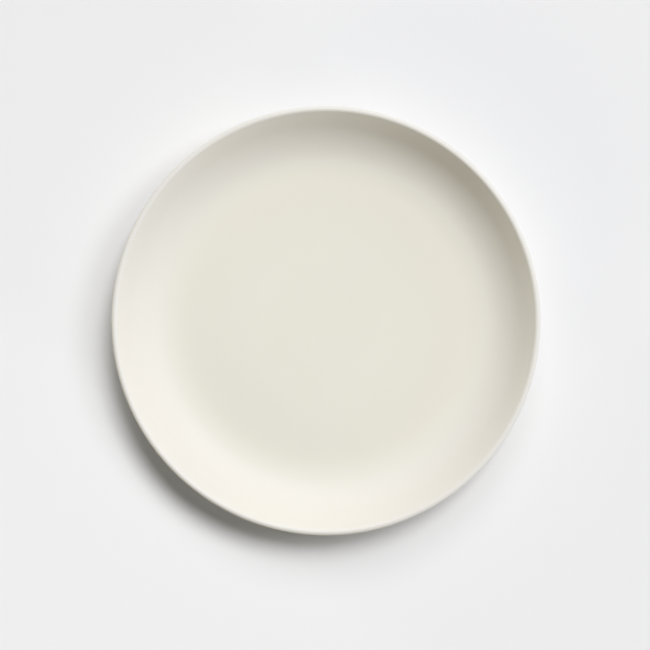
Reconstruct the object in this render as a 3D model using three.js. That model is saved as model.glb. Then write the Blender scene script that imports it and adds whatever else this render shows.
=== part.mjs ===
// Salad plate: a coupe plate of fired clay under a satin cream glaze.
// Millimetres, +Z up. The origin is on the table, at the centre of the foot ring.
import * as THREE from "three";

const { degToRad } = THREE.MathUtils;

// Overall size, over the glaze
const rimDiameter = 216;
const plateHeight = 25.4;

// Clay section: the wall leaves the flat well in a shallow sweep, turns up in a tighter bend
// and runs straight to the lip
const floorThickness = 3.4; // under the well
const lipThickness = 2.4; // along the wall and at the lip
const sweepRadius = 60;
const sweepAngle = degToRad(10); // slope where the sweep meets the bend
const wallAngle = degToRad(52); // slope where the bend meets the straight wall
const wallStraight = 9; // length of the straight wall inside

// Foot ring
const footHeight = 2.4; // sole to underside
const footSole = 3; // flat width that stands on the table
const footInset = 1.5; // flat underside left between the outer sweep and the foot
const footDraft = degToRad(14); // lean of the foot's faces
const footEdge = 0.7; // rounding at both edges of the sole
const footFillet = 1.2; // hollow rounding between foot and underside

// Glaze
const glazeThickness = 0.35;
const glazeLine = 1; // height of the wiped edge above the sole
const bondGap = 0.05; // clearance between clay and glaze

// Facets
const turnSteps = 64;
const chordError = 0.07;
const samePoint = 1e-6;

// Directions in which the section's surface faces, in radians from +X
const up = Math.PI / 2;
const level = 0;
const down = -Math.PI / 2;
const sweepInside = up + sweepAngle;
const sweepOutside = sweepAngle - up;
const wallInside = up + wallAngle;
const wallOutside = wallAngle - up;
const footOutside = -footDraft;
const footInside = footDraft - Math.PI;

function direction(angle) {
  return new THREE.Vector2(Math.cos(angle), Math.sin(angle));
}

// One stretch of the section, as an arc by the directions that it faces. A hollow arc has a
// negative radius. The straights are what lies between two arcs.
function arc(centre, radius, from, to) {
  const step = 2 * Math.acos(Math.max(0, 1 - chordError / Math.abs(radius)));
  return { centre, radius, from, to, steps: Math.ceil(Math.abs(to - from) / step) };
}

// A single point of the section, which lies on the axis
function middle(height, facing) {
  return { centre: new THREE.Vector2(0, height), radius: 0, from: facing, to: facing, steps: 1 };
}

// Points along a run of arcs, at a distance out from the clay. The number of steps doesn't
// depend on the distance, so the facets of clay and glaze lie parallel. An arc that starts
// where the last one ended adds no second point there.
function trace(arcs, distance) {
  const points = [];
  for (const { centre, radius, from, to, steps } of arcs) {
    for (let i = 0; i <= steps; i += 1) {
      const facing = direction(THREE.MathUtils.lerp(from, to, i / steps));
      const point = facing.multiplyScalar(radius + distance).add(centre);
      if (points.length === 0 || point.distanceTo(points.at(-1)) > samePoint) points.push(point);
    }
  }
  return points;
}

// The part of a falling run of points that lies above a height, cut off level there
function downTo(points, height) {
  const first = points.findIndex((point) => point.y < height);
  const above = points[first - 1];
  const share = (above.y - height) / (above.y - points[first].y);
  return [...points.slice(0, first), above.clone().lerp(points[first], share)];
}

// Lip: a half round, with the clay wall running down from it on both sides
const coat = bondGap + glazeThickness;
const lipRadius = lipThickness / 2;
const lipCentre = new THREE.Vector2(
  rimDiameter / 2 - coat - lipRadius,
  plateHeight - coat - lipRadius,
);

// Inside of the wall, from the lip down to the flat well
const wellHeight = footHeight + floorThickness;
const sweepRise = sweepRadius * (1 - Math.cos(sweepAngle));
const bendEnd = direction(wallInside)
  .multiplyScalar(lipRadius)
  .add(lipCentre)
  .addScaledVector(direction(wallAngle), -wallStraight);
const bendRise = bendEnd.y - wellHeight - sweepRise;
const bendRadius = bendRise / (Math.cos(sweepAngle) - Math.cos(wallAngle));
const bendCentre = direction(wallInside).multiplyScalar(bendRadius).add(bendEnd);
const sweepCentre = direction(sweepInside).multiplyScalar(sweepRadius - bendRadius).add(bendCentre);

// Outside of the wall: as thick as the lip, and slid down along the wall where the floor is thicker
const extraFloor = floorThickness - lipThickness;
const slide = new THREE.Vector2(-extraFloor / Math.tan(wallAngle), -extraFloor);
const outerBendCentre = bendCentre.clone().add(slide);
const outerSweepCentre = sweepCentre.clone().add(slide);

// Foot ring: a tapered ring with a hollow rounding above and a rounded sole
const footReach = (footHeight - footFillet - footEdge) * Math.tan(footDraft);
const footSpread = (footFillet + footEdge) / Math.cos(footDraft) + footReach;
const outerFillet = new THREE.Vector2(outerSweepCentre.x - footInset, footHeight - footFillet);
const outerEdge = new THREE.Vector2(outerFillet.x - footSpread, footEdge);
const innerEdge = new THREE.Vector2(outerEdge.x - footSole, footEdge);
const innerFillet = new THREE.Vector2(innerEdge.x - footSpread, footHeight - footFillet);

// The clay's section in three falling runs: the face out to the lip, the outside down to the
// sole, and the base from its middle down to the sole
const face = [
  middle(wellHeight, up),
  arc(sweepCentre, -sweepRadius, up, sweepInside),
  arc(bendCentre, -bendRadius, sweepInside, wallInside),
  arc(lipCentre, lipRadius, wallInside, up),
  arc(lipCentre, lipRadius, up, level),
  arc(lipCentre, lipRadius, level, wallOutside),
];
const outside = [
  arc(outerBendCentre, bendRadius + lipThickness, wallOutside, sweepOutside),
  arc(outerSweepCentre, sweepRadius + lipThickness, sweepOutside, down),
  arc(outerFillet, -footFillet, down, footOutside),
  arc(outerEdge, footEdge, footOutside, down),
];
const base = [
  middle(footHeight, down),
  arc(innerFillet, -footFillet, down, footInside),
  arc(innerEdge, footEdge, footInside, down),
];

// A piece turned from a section of radii and heights
function turned(name, section, color, roughness) {
  const geometry = new THREE.LatheGeometry(section, turnSteps).rotateX(Math.PI / 2);
  const material = new THREE.MeshStandardMaterial({ color, roughness, metalness: 0 });
  const mesh = new THREE.Mesh(geometry, material);
  mesh.name = name;
  return mesh;
}

// A coat from the clay out to the glazed surface, cut off level at the wiped line
function coating(arcs) {
  const under = downTo(trace(arcs, bondGap), glazeLine);
  const over = downTo(trace(arcs, coat), glazeLine);
  return [...under, ...over.reverse()];
}

const claySection = [...trace(base, 0), ...trace([...face, ...outside], 0).reverse()];

const plate = new THREE.Group();
plate.add(
  turned("clay_body", claySection, 0xd8cdb9, 0.9),
  turned("glaze_coat", coating([...face, ...outside]), 0xe6e4d7, 0.45),
  turned("base_glaze", coating(base).reverse(), 0xe6e4d7, 0.45),
);

export default plate;
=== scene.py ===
import math

import bmesh
import bpy
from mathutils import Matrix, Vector


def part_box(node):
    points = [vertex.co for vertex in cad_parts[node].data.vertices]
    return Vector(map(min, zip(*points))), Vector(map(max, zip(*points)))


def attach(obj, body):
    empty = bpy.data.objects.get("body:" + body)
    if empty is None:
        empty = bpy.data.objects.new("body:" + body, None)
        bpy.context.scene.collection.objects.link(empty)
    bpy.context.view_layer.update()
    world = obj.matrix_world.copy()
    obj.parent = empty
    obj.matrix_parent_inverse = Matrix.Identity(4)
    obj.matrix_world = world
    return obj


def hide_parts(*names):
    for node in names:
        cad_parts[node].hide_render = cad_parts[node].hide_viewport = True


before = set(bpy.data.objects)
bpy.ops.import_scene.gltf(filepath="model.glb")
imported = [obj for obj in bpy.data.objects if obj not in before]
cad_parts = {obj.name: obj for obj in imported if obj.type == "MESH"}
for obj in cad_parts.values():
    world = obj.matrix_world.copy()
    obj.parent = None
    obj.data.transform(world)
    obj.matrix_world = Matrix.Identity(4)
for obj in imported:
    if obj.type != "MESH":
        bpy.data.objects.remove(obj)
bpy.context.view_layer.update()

print("frame loaded:", ", ".join(sorted(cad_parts)))


# Nodes of a material or of the world, and maths on their sockets

class Finish:
    def __init__(self, owner, shader):
        owner.use_nodes = True
        self.owner = owner
        self.tree = owner.node_tree
        self.shader = self.tree.nodes[shader]

    def node(self, kind, settings=None, sockets=None):
        made = self.tree.nodes.new("ShaderNode" + kind)
        for name, value in (settings or {}).items():
            setattr(made, name, value)
        self.feed(made, sockets or {})
        return made

    def feed(self, node, sockets):
        for name, value in sockets.items():
            if isinstance(value, Value):
                self.tree.links.new(value.socket, node.inputs[name])
            else:
                node.inputs[name].default_value = value

    def value(self, node, output=0):
        return Value(self, node.outputs[output])

    def noise(self, place, scale, detail, roughness):
        sockets = {"Vector": place, "Scale": scale, "Detail": detail, "Roughness": roughness}
        return self.value(self.node("TexNoise", None, sockets), "Fac")

    def rise(self, value, low, high):  # 0 below low, 1 above high, smooth between
        sockets = {"Value": value, "From Min": low, "From Max": high}
        return self.value(self.node("MapRange", {"interpolation_type": "SMOOTHSTEP"}, sockets))

    def blend(self, share, first, second):  # sockets 0, 6 and 7 are the factor and the two colours
        sockets = {0: share, 6: first, 7: second}
        return self.value(self.node("Mix", {"data_type": "RGBA"}, sockets), 2)

    def bump(self, height, distance, strength):
        sockets = {"Height": height, "Distance": distance, "Strength": strength}
        return self.value(self.node("Bump", None, sockets))


class Value:
    def __init__(self, finish, socket):
        self.finish = finish
        self.socket = socket

    def maths(self, operation, first, second):
        node = self.finish.node("Math", {"operation": operation}, {0: first, 1: second})
        return self.finish.value(node)

    def __add__(self, other):
        return self.maths("ADD", self, other)

    def __radd__(self, other):
        return self.maths("ADD", other, self)

    def __sub__(self, other):
        return self.maths("SUBTRACT", self, other)

    def __rsub__(self, other):
        return self.maths("SUBTRACT", other, self)

    def __mul__(self, other):
        return self.maths("MULTIPLY", self, other)

    def __rmul__(self, other):
        return self.maths("MULTIPLY", other, self)

    def __pow__(self, other):
        return self.maths("POWER", self, other)

    def swing(self, size):  # a value between 0 and 1 becomes up to half the size either way
        return (self - 0.5) * size


# A pen that draws a section in the XZ plane from the axis, and a lathe that turns it about Z

facets = {
    "flat": 0.008,  # longest stretch of a straight
    "chord": 0.000003,  # furthest that a round stretch departs from its arc
    "wedges": 16,  # round the axis
    "wedgeSteps": 16,  # in each wedge
    "samePoint": 0.000001,  # points closer than this are one
}


class Pen:
    def __init__(self, height):
        self.bm = bmesh.new()
        self.tip = self.bm.verts.new((0, 0, height))
        self.heading = 0.0  # from +X up towards +Z

    def run(self, length):
        pieces = math.ceil(length / facets["flat"])
        step = Vector((math.cos(self.heading), 0, math.sin(self.heading))) * length / pieces
        for _ in range(pieces):
            self.tip = bmesh.ops.extrude_vert_indiv(self.bm, verts=[self.tip])["verts"][0]
            bmesh.ops.translate(self.bm, verts=[self.tip], vec=step)

    def turn(self, degrees, radius):  # a turn to the left is positive
        angle = math.radians(degrees)
        side = math.copysign(1, angle)
        left = Vector((-math.sin(self.heading), 0, math.cos(self.heading)))
        step = 2 * math.acos(1 - facets["chord"] / radius)
        swept = bmesh.ops.spin(
            self.bm, geom=[self.tip], cent=self.tip.co + left * side * radius,
            axis=(0, -side, 0), angle=abs(angle), steps=math.ceil(abs(angle) / step),
        )
        self.tip = next(item for item in swept["geom_last"] if isinstance(item, bmesh.types.BMVert))
        self.heading += angle

    def draw(self, moves):
        for name, *sizes in moves:
            getattr(self, name)(*sizes)

    def lathe(self):  # one wedge is spun and then copied round, which is quicker than a full spin
        wedge = 2 * math.pi / facets["wedges"]
        bmesh.ops.spin(
            self.bm, geom=self.bm.verts[:] + self.bm.edges[:], cent=(0, 0, 0),
            axis=(0, 0, 1), angle=wedge, steps=facets["wedgeSteps"],
        )
        bmesh.ops.spin(
            self.bm, geom=self.bm.verts[:] + self.bm.edges[:] + self.bm.faces[:], cent=(0, 0, 0),
            axis=(0, 0, 1), angle=2 * math.pi - wedge, steps=facets["wedges"] - 1, use_duplicate=True,
        )
        bmesh.ops.remove_doubles(self.bm, verts=self.bm.verts, dist=facets["samePoint"])
        bmesh.ops.recalc_face_normals(self.bm, faces=self.bm.faces)


def backwards(moves):
    back = []
    for name, size, *rest in reversed(moves):
        back.append((name, -size if name == "turn" else size, *rest))
    return back


def addPiece(name, bm, finish, node):
    for facet in bm.faces:
        facet.smooth = True
    mesh = bpy.data.meshes.new(name)
    bm.to_mesh(mesh)
    bm.free()
    mesh.materials.append(finish.owner)
    piece = bpy.data.objects.new(name, mesh)
    bpy.context.scene.collection.objects.link(piece)
    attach(piece, "root")
    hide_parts(node)
    print("made", name, "with", len(mesh.polygons), "faces")


# Section that the three pieces share: sizes in metres, slopes in degrees

glazeLow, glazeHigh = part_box("glaze_coat")
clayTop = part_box("clay_body")[1][2]

section = {
    "rim": glazeHigh[0],  # radius over the glaze
    "height": glazeHigh[2],
    "coat": glazeHigh[2] - clayTop,  # glaze and its bond
    "bond": 0.00005,  # between clay and glaze
    "floor": 0.0034,  # clay under the well
    "lip": 0.0024,  # clay along the wall and at the lip
    "sweepRadius": 0.060,
    "sweepAngle": 10,  # where the sweep meets the bend
    "wallAngle": 52,  # where the bend meets the straight wall
    "wallStraight": 0.009,
    "footHeight": 0.0024,  # sole to underside
    "footSole": 0.003,  # flat width of the sole
    "footInset": 0.0015,  # flat underside between the outer sweep and the foot
    "footDraft": 14,  # lean of the foot's faces
    "footEdge": 0.0007,  # rounding of the sole's edges
    "footFillet": 0.0012,  # hollow rounding above the foot
}

wall = math.radians(section["wallAngle"])
sweep = math.radians(section["sweepAngle"])
draft = math.radians(section["footDraft"])
lipRadius = section["lip"] / 2
bendAngle = section["wallAngle"] - section["sweepAngle"]
footTurn = 90 - section["footDraft"]
halfTurn = 180

# Where the half round of the lip starts inside, and the bend that reaches it from the well
wellHeight = section["footHeight"] + section["floor"]
lipX = section["rim"] - section["coat"] - lipRadius * (1 + math.sin(wall))
lipZ = section["height"] - section["coat"] - lipRadius * (1 - math.cos(wall))
sweepRise = section["sweepRadius"] * (1 - math.cos(sweep))
bendRise = lipZ - section["wallStraight"] * math.sin(wall) - wellHeight - sweepRise
bendRadius = bendRise / (math.cos(sweep) - math.cos(wall))
bendEnd = lipX - section["wallStraight"] * math.cos(wall)
bendStart = bendEnd - bendRadius * (math.sin(wall) - math.sin(sweep))
wellRadius = bendStart - section["sweepRadius"] * math.sin(sweep)

# The outside is as far out as the lip is thick, and further along the wall where the floor is thicker
extraFloor = section["floor"] - section["lip"]
outerStraight = section["wallStraight"] + extraFloor / math.sin(wall)
footRounding = section["footFillet"] + section["footEdge"]
footFall = section["footHeight"] - footRounding
footFace = (footFall + footRounding * math.sin(draft)) / math.cos(draft)
footSpread = footRounding / math.cos(draft) + footFall * math.tan(draft)
footOuter = wellRadius - extraFloor / math.tan(wall) - section["footInset"]
footInner = footOuter - 2 * footSpread - section["footSole"]
for name, size in (("well", wellRadius), ("bend", bendRadius), ("foot", footOuter)):
    print(name, "radius", round(size, 4))


def faceAndOutside(distance):  # out from the clay, from the middle of the well over the lip to the foot
    return [
        ("run", wellRadius),
        ("turn", section["sweepAngle"], section["sweepRadius"] - distance),
        ("turn", bendAngle, bendRadius - distance),
        ("run", section["wallStraight"]),
        ("turn", -halfTurn, lipRadius + distance),
        ("run", outerStraight),
        ("turn", -bendAngle, bendRadius + section["lip"] + distance),
        ("turn", -section["sweepAngle"], section["sweepRadius"] + section["lip"] + distance),
        ("run", section["footInset"]),
        ("turn", footTurn, section["footFillet"] - distance),
    ]


def underBase(distance):  # out from the clay, from the middle of the base to the foot
    return [
        ("run", footInner),
        ("turn", -footTurn, section["footFillet"] - distance),
    ]


# Bare clay, seen only on the sole of the foot

clayPlate = {
    "buff": (0.69, 0.61, 0.48, 1),
    "dark": (0.61, 0.53, 0.41, 1),
    "grit": (0.42, 0.35, 0.26, 1),
    "grain": (1500, 4, 0.6),  # scale, detail and roughness of the noise
    "grainDepth": 0.00012,
    "specks": (1100, 1, 0.5),  # the same, for the grit
    "speckStart": 0.64,  # noise where a speck begins
    "speckFull": 0.72,  # noise where it is full
    "speckTint": 0.6,  # how far it takes the colour of grit
    "speckDepth": 0.4,  # as a share of the grain's
    "rubbed": 0.0004,  # height up to which the sole was rubbed smooth
    "rubbedGloss": 0.2,  # roughness lost there
    "rubbedBump": 0.3,  # bump left there
    "roughness": 0.88,
    "roughnessSwing": 0.1,
    "bumpStrength": 0.6,
}


def clayFinish():
    finish = Finish(bpy.data.materials.new("bareClay"), "Principled BSDF")
    place = finish.value(finish.node("TexCoord"), "Object")
    height = finish.value(finish.node("SeparateXYZ", None, {0: place}), "Z")
    grain = finish.noise(place, *clayPlate["grain"])
    specks = finish.noise(place, *clayPlate["specks"])
    grit = finish.rise(specks, clayPlate["speckStart"], clayPlate["speckFull"])
    raw = finish.rise(height, 0, clayPlate["rubbed"])
    polish = (1 - raw) * clayPlate["rubbedGloss"]
    relief = grain - clayPlate["speckDepth"] * grit
    bumpLeft = clayPlate["rubbedBump"] + (1 - clayPlate["rubbedBump"]) * raw
    colour = finish.blend(grain, clayPlate["buff"], clayPlate["dark"])
    colour = finish.blend(grit * clayPlate["speckTint"], colour, clayPlate["grit"])
    finish.feed(finish.shader, {
        "Base Color": colour,
        "Roughness": clayPlate["roughness"] - polish + grain.swing(clayPlate["roughnessSwing"]),
        "Normal": finish.bump(relief * bumpLeft, clayPlate["grainDepth"], clayPlate["bumpStrength"]),
    })
    return finish


def makeClay():
    foot = [
        ("run", footFace),
        ("turn", -footTurn, section["footEdge"]),
        ("run", section["footSole"]),
        ("turn", -footTurn, section["footEdge"]),
        ("run", footFace),
    ]
    pen = Pen(wellHeight)
    pen.draw(faceAndOutside(0) + foot + backwards(underBase(0)))
    pen.lathe()
    addPiece("clayPlate", pen.bm, clayFinish(), "clay_body")


# Satin glaze in two coats: over the lip down to the foot, and inside the foot ring

glazeSkin = {
    "cream": (0.787, 0.769, 0.668, 1),
    "pale": (0.812, 0.798, 0.708, 1),
    "pooledAndShaded": (0.767, 0.747, 0.656, 1),  # darker towards the foot of the wall: glaze pooled thick there, and painted shade
    "sheenShadeWall": (0.760, 0.737, 0.681, 1),  # painted sheen and shade: the wall a little darker and less yellow than the well
    "lipHighlight": (0.769, 0.748, 0.707, 1),  # painted highlight: the lip paler than the wall
    "roughness": 0.6,
    "roughnessSwing": 0.06,
    "clouds": (28, 3, 0.5),  # scale, detail and roughness of the noise
    "peel": (420, 2, 0.5),
    "peelDepth": 0.00003,
    "grain": (2600, 2, 0.5),
    "grainDepth": 0.15,  # as a share of the peel's
    "bumpStrength": 0.6,
    "poolAndShadeStart": 0.03,  # from the middle, where the pooling and painted shade begin
    "lipBand": 0.0016,  # height over which the lip's painted highlight comes in
    "edgeBand": 0.0008,  # height over which it thins at the wiped line
    "edgeTint": 0.7,  # how far the clay shows there
    "wipedLine": glazeLow[2],
    "waves": [(5, 0.00004, 0.3), (13, 0.00003, 1.9), (31, 0.00002, 4.0)],  # count, size and start
}


def glazeFinish():
    finish = Finish(bpy.data.materials.new("satinCreamGlaze"), "Principled BSDF")
    place = finish.value(finish.node("TexCoord"), "Object")
    apart = finish.node("SeparateXYZ", None, {0: place})
    across, along, height = (finish.value(apart, axis) for axis in "XYZ")
    fromAxis = (across * across + along * along) ** 0.5
    clouds = finish.noise(place, *glazeSkin["clouds"])
    peel = finish.noise(place, *glazeSkin["peel"])
    grain = finish.noise(place, *glazeSkin["grain"])
    relief = peel + glazeSkin["grainDepth"] * grain
    swing = clouds.swing(glazeSkin["roughnessSwing"]) + grain.swing(glazeSkin["roughnessSwing"])
    # pooled glaze and painted shade, darker towards the foot of the wall
    poolAndShade = finish.rise(fromAxis, glazeSkin["poolAndShadeStart"], wellRadius)
    # painted sheen and shade on the wall
    sheenShadeMask = finish.rise(fromAxis, wellRadius, (bendStart + bendEnd) / 2)
    # painted highlight on the lip
    lip = finish.rise(height, section["height"] - glazeSkin["lipBand"], section["height"])
    wipedLine = glazeSkin["wipedLine"]
    wiped = 1 - finish.rise(height, wipedLine, wipedLine + glazeSkin["edgeBand"])
    colour = finish.blend(clouds, glazeSkin["cream"], glazeSkin["pale"])
    # pooled glaze and painted shade
    colour = finish.blend(poolAndShade, colour, glazeSkin["pooledAndShaded"])
    # painted sheen and shade on the wall
    colour = finish.blend(sheenShadeMask, colour, glazeSkin["sheenShadeWall"])
    # painted highlight on the lip
    colour = finish.blend(lip, colour, glazeSkin["lipHighlight"])
    colour = finish.blend(wiped * glazeSkin["edgeTint"], colour, clayPlate["buff"])
    finish.feed(finish.shader, {
        "Base Color": colour,
        "Roughness": glazeSkin["roughness"] + swing,
        "Normal": finish.bump(relief, glazeSkin["peelDepth"], glazeSkin["bumpStrength"]),
    })
    return finish


def coatMoves(path, edgeTurn):  # along the glazed surface, round the wiped edge and back beside the clay
    over, under = section["coat"], section["bond"]
    edge = (over - under) / 2
    hollow = section["footFillet"] - (over + under) / 2
    filletEnd = section["footHeight"] - section["footFillet"] + hollow * math.sin(draft)
    fall = (filletEnd - edge - glazeSkin["wipedLine"]) / math.cos(draft)
    rounded = [("run", fall), ("turn", edgeTurn, edge), ("run", fall)]
    return path(over) + rounded + backwards(path(under))


def waveEdge(bm):  # the wiped line wanders a little round the foot
    for vert in bm.verts:
        nearness = 1 - (vert.co.z - glazeSkin["wipedLine"]) / glazeSkin["edgeBand"]
        if nearness > 0:
            around = math.atan2(vert.co.y, vert.co.x)
            wave = sum(size * math.sin(count * around + start) for count, size, start in glazeSkin["waves"])
            vert.co.z += wave * nearness


def makeGlaze(name, node, height, path, edgeTurn, finish):
    pen = Pen(height)
    pen.draw(coatMoves(path, edgeTurn))
    pen.lathe()
    waveEdge(pen.bm)
    addPiece(name, pen.bm, finish, node)


makeClay()
creamGlaze = glazeFinish()
wellTop = wellHeight + section["coat"]
baseUnderside = section["footHeight"] - section["coat"]
makeGlaze("glazeSkin", "glaze_coat", wellTop, faceAndOutside, -halfTurn, creamGlaze)
makeGlaze("baseGlazeSkin", "base_glaze", baseUnderside, underBase, halfTurn, creamGlaze)


# Floor and backdrop

stage = {
    "floorHalf": 8.0,  # half of its side
    "floorColour": (0.888, 0.889, 0.898, 1),
    "floorBounce": (0.6, 0.6, 0.6, 1),  # what the floor throws back on the plate
    "floorRoughness": 0.9,
    "backdrop": (0.85, 0.85, 0.85, 1),  # how the world looks, about as bright as the floor
    "fill": (0.057, 0.059, 0.067, 1),  # how it lights
}


def seen(finish):  # 1 for rays that show the floor or the backdrop, 0 for rays that only light
    path = finish.node("LightPath")
    rays = ("Is Camera Ray", "Is Glossy Ray", "Is Transmission Ray")
    camera, glossy, transmission = (finish.value(path, ray) for ray in rays)
    return camera + glossy + transmission


def addFloor():
    finish = Finish(bpy.data.materials.new("paleFloor"), "Principled BSDF")
    finish.feed(finish.shader, {
        "Base Color": finish.blend(seen(finish), stage["floorBounce"], stage["floorColour"]),
        "Roughness": stage["floorRoughness"],
        "Specular IOR Level": 0,  # no gloss
    })
    bm = bmesh.new()
    bmesh.ops.create_grid(bm, x_segments=1, y_segments=1, size=stage["floorHalf"])
    mesh = bpy.data.meshes.new("floor")
    bm.to_mesh(mesh)
    bm.free()
    mesh.materials.append(finish.owner)
    floor = bpy.data.objects.new("floor", mesh)
    bpy.context.scene.collection.objects.link(floor)


def addWorld():
    finish = Finish(bpy.data.worlds.new("studio"), "Background")
    colour = finish.blend(seen(finish), stage["fill"], stage["backdrop"])
    finish.feed(finish.shader, {"Color": colour})
    bpy.context.scene.world = finish.owner


# Lamps: azimuth from +X, elevation and spread in degrees, strength and colour

white = (1.0, 1.0, 1.0)
ivory = (1.0, 0.98, 0.87)
warm = (1.0, 0.88, 0.50)

lamps = {
    "key": (60, 59, 23, 1.78, white),
    "rightSoftbox": (20, 50, 23, 0.86, white),
    "backSoftbox": (91, 44, 23, 0.67, white),
    "lowFront": (320, 6, 11, 0.71, white),
    "lowLeft": (140, 6, 11, 0.565, ivory),
    "warmCard": (230, 12, 23, 0.43, warm),
}


def addLamp(name, azimuth, elevation, spread, strength, colour):
    around, above = math.radians(azimuth), math.radians(elevation)
    flat = math.cos(above)
    towards = Vector((flat * math.cos(around), flat * math.sin(around), math.sin(above)))
    lamp = bpy.data.objects.new(name, bpy.data.lights.new(name, "SUN"))
    lamp.data.angle = math.radians(spread)
    lamp.data.energy = strength
    lamp.data.color = colour
    lamp.location = towards  # only a mark, as a sun lights alike from any place
    lamp.rotation_euler = towards.to_track_quat("Z", "Y").to_euler()
    bpy.context.scene.collection.objects.link(lamp)


# Camera, straight above as in the photograph

view = {
    "frame": 650,  # the photograph's side, in pixels
    "centre": (326.0, 320.7),  # the plate's middle in it
    "radius": 215.0,  # the plate's outline in it
    "distance": 0.8,  # above the lip
    "sensor": 36,
}


def addCamera():
    metresPerPixel = section["rim"] / view["radius"]
    camera = bpy.data.objects.new("camera", bpy.data.cameras.new("camera"))
    camera.data.sensor_width = view["sensor"]
    camera.data.lens = view["sensor"] * view["distance"] / (view["frame"] * metresPerPixel)
    across = (view["frame"] / 2 - view["centre"][0]) * metresPerPixel
    along = (view["centre"][1] - view["frame"] / 2) * metresPerPixel
    camera.location = (across, along, section["height"] + view["distance"])
    bpy.context.scene.collection.objects.link(camera)
    bpy.context.scene.camera = camera


addFloor()
addWorld()
for name, settings in lamps.items():
    addLamp(name, *settings)
addCamera()
bpy.context.scene.view_settings.view_transform = "Standard"
print("floor, lamps and camera set")
